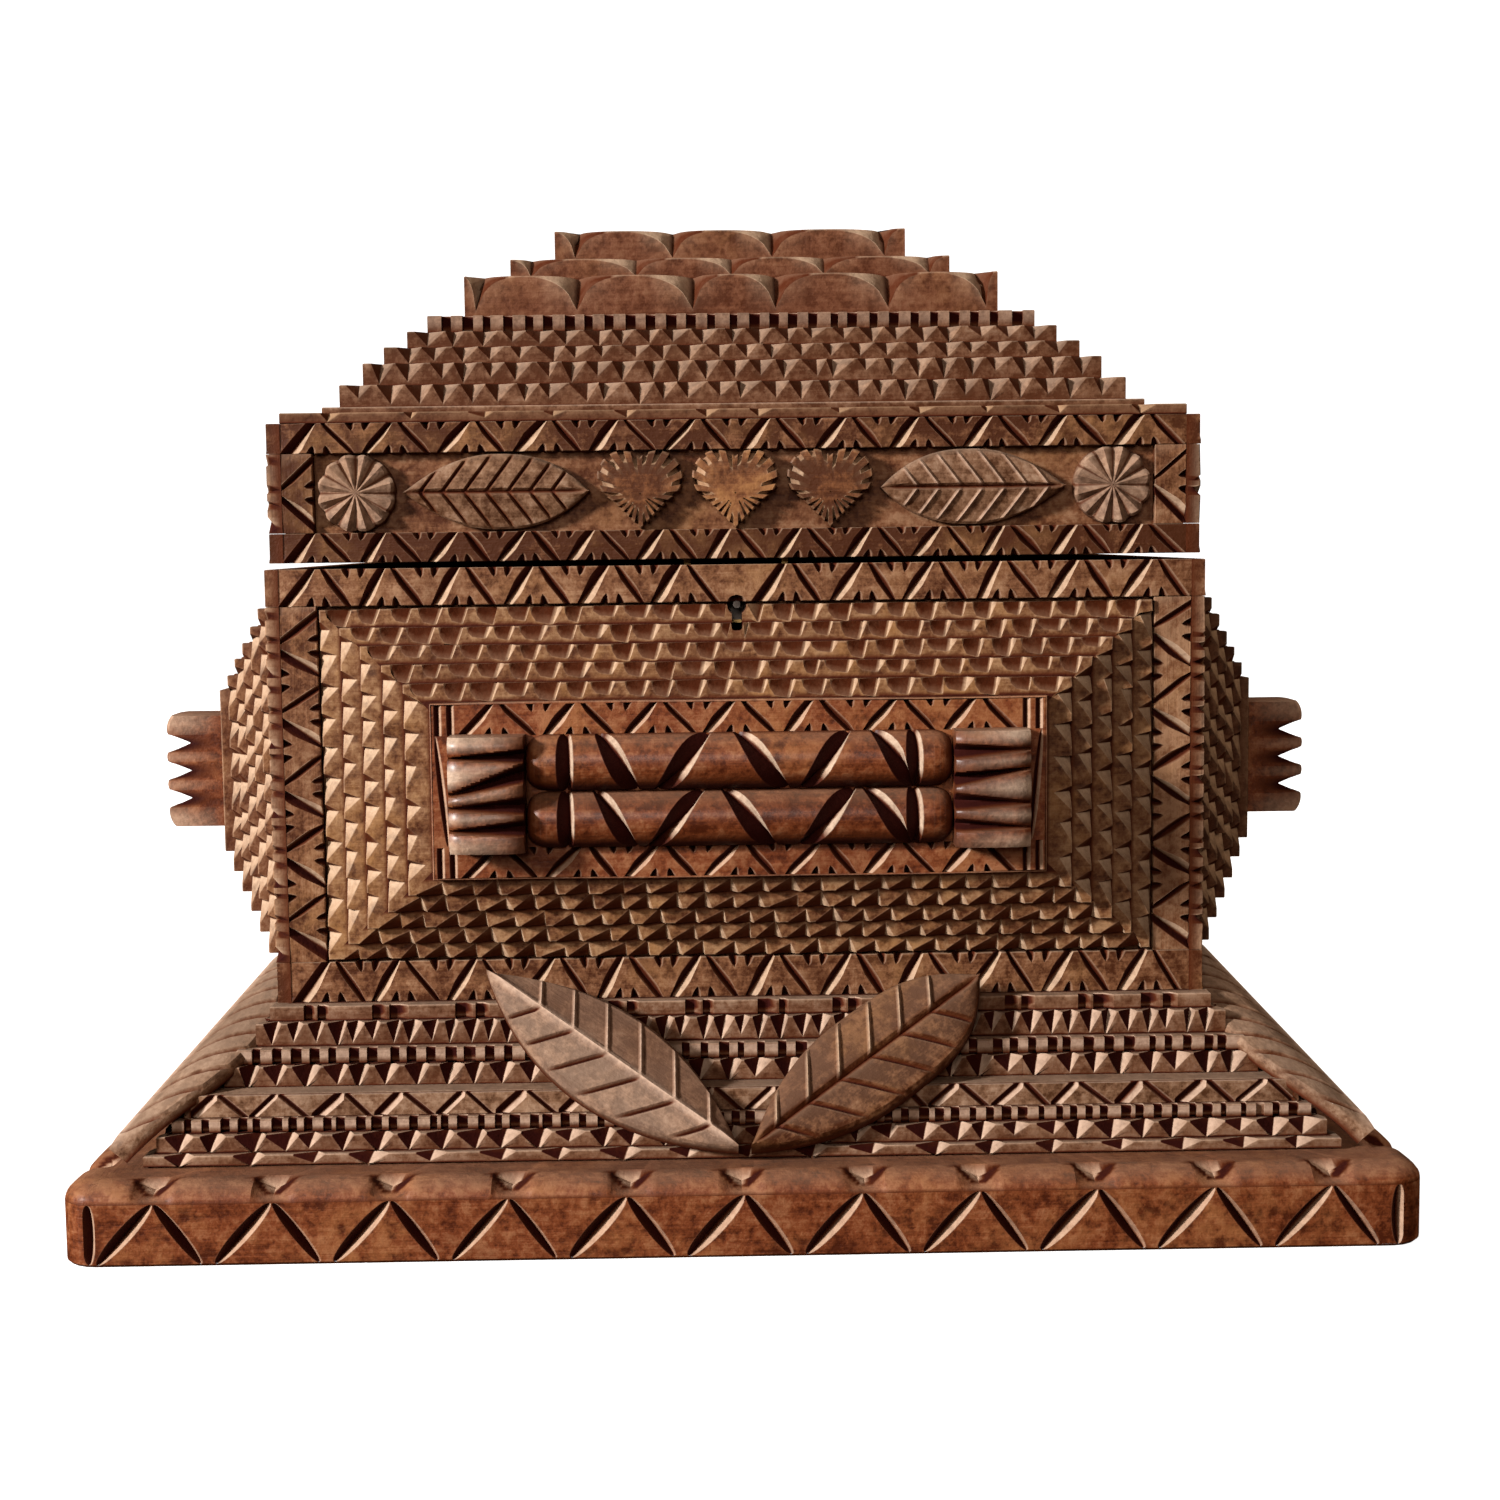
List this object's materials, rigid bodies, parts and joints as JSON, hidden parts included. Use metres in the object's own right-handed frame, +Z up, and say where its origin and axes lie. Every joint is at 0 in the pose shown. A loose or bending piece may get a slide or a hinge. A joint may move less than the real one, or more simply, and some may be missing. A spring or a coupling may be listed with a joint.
{
  "type": "lidded keepsake box",
  "caption": "Lidded keepsake box of chip-carved stacked wood boards on a stepped pedestal, with hinged stepped lid, applied leaves and hearts, carved fixed handles and a small box lock",
  "frame": {"origin": "middle of the underside of the plinth, on the ground", "axes": "+X to the right along the front, -Y out of the carved front with the keyhole, +Z up; lid shut, lock bolt withdrawn"},
  "size_m": [0.315, 0.267, 0.2461],
  "materials": {
    "wood_red": "worn satin shellac over red-brown cigar-box cedar",
    "wood_brown": "aged varnish over mid-brown wood, pale where chips are cut",
    "wood_tan": "dusty matte old wood, worn",
    "wood_gold": "thin golden varnish",
    "wood_dark": "plain aged wood",
    "brass": "dull tarnished brass",
    "iron": "dark oxidised iron"
  },
  "bodies": {
    "case": {"plinth": "wood_red", "step_1": "wood_tan", "step_2": "wood_tan", "step_3": "wood_tan", "step_4": "wood_tan", "step_5": "wood_tan", "step_6": "wood_tan", "step_7": "wood_tan", "step_8": "wood_tan", "leaf_front_left": "wood_tan", "leaf_front_right": "wood_tan", "leaves_left": "wood_tan", "leaves_right": "wood_tan", "case_floor": "wood_dark", "case_front": "wood_dark", "case_back": "wood_dark", "case_left": "wood_dark", "case_right": "wood_dark", "front_frame": "wood_brown", "left_frame": "wood_brown", "right_frame": "wood_brown", "back_panel": "wood_brown", "left_panel": "wood_brown", "right_panel": "wood_brown", "front_layer_1": "wood_brown", "front_layer_2": "wood_brown", "front_layer_3": "wood_brown", "front_layer_4": "wood_brown", "front_layer_5": "wood_brown", "front_plaque": "wood_red", "front_handle_blocks": "wood_red", "front_handle_bars": "wood_red", "left_handle": "wood_red", "right_handle": "wood_red", "lock_case": "iron", "hinge_leaves_case": "brass", "hinge_pins": "iron"},
    "lid": {"lid_front": "wood_gold", "lid_back": "wood_dark", "lid_left": "wood_dark", "lid_right": "wood_dark", "lid_top": "wood_dark", "lid_frame_front": "wood_brown", "lid_frame_back": "wood_brown", "lid_frame_left": "wood_brown", "lid_frame_right": "wood_brown", "lid_layer_1": "wood_brown", "lid_layer_2": "wood_brown", "lid_layer_3": "wood_brown", "lid_layer_4": "wood_brown", "lid_layer_5": "wood_brown", "lid_layer_6": "wood_brown", "crown_1": "wood_red", "crown_2": "wood_red", "crown_3": "wood_red", "hearts": "wood_gold", "band_leaves_rosettes": "wood_tan", "link_plate": "brass", "hinge_leaves_lid": "brass"},
    "bolt": {"lock_bolt": "brass"}
  },
  "joints": [
    {"name": "lid_hinge", "type": "hinge", "parent": "case", "child": "lid", "pos_m": [0, 0.0902, 0.15855], "axis": [-1, 0, 0], "range_deg": [0, 100]},
    {"name": "bolt_slide", "type": "slide", "parent": "case", "child": "bolt", "axis": [1, 0, 0], "range_m": [0, 0.0045]}
  ]
}
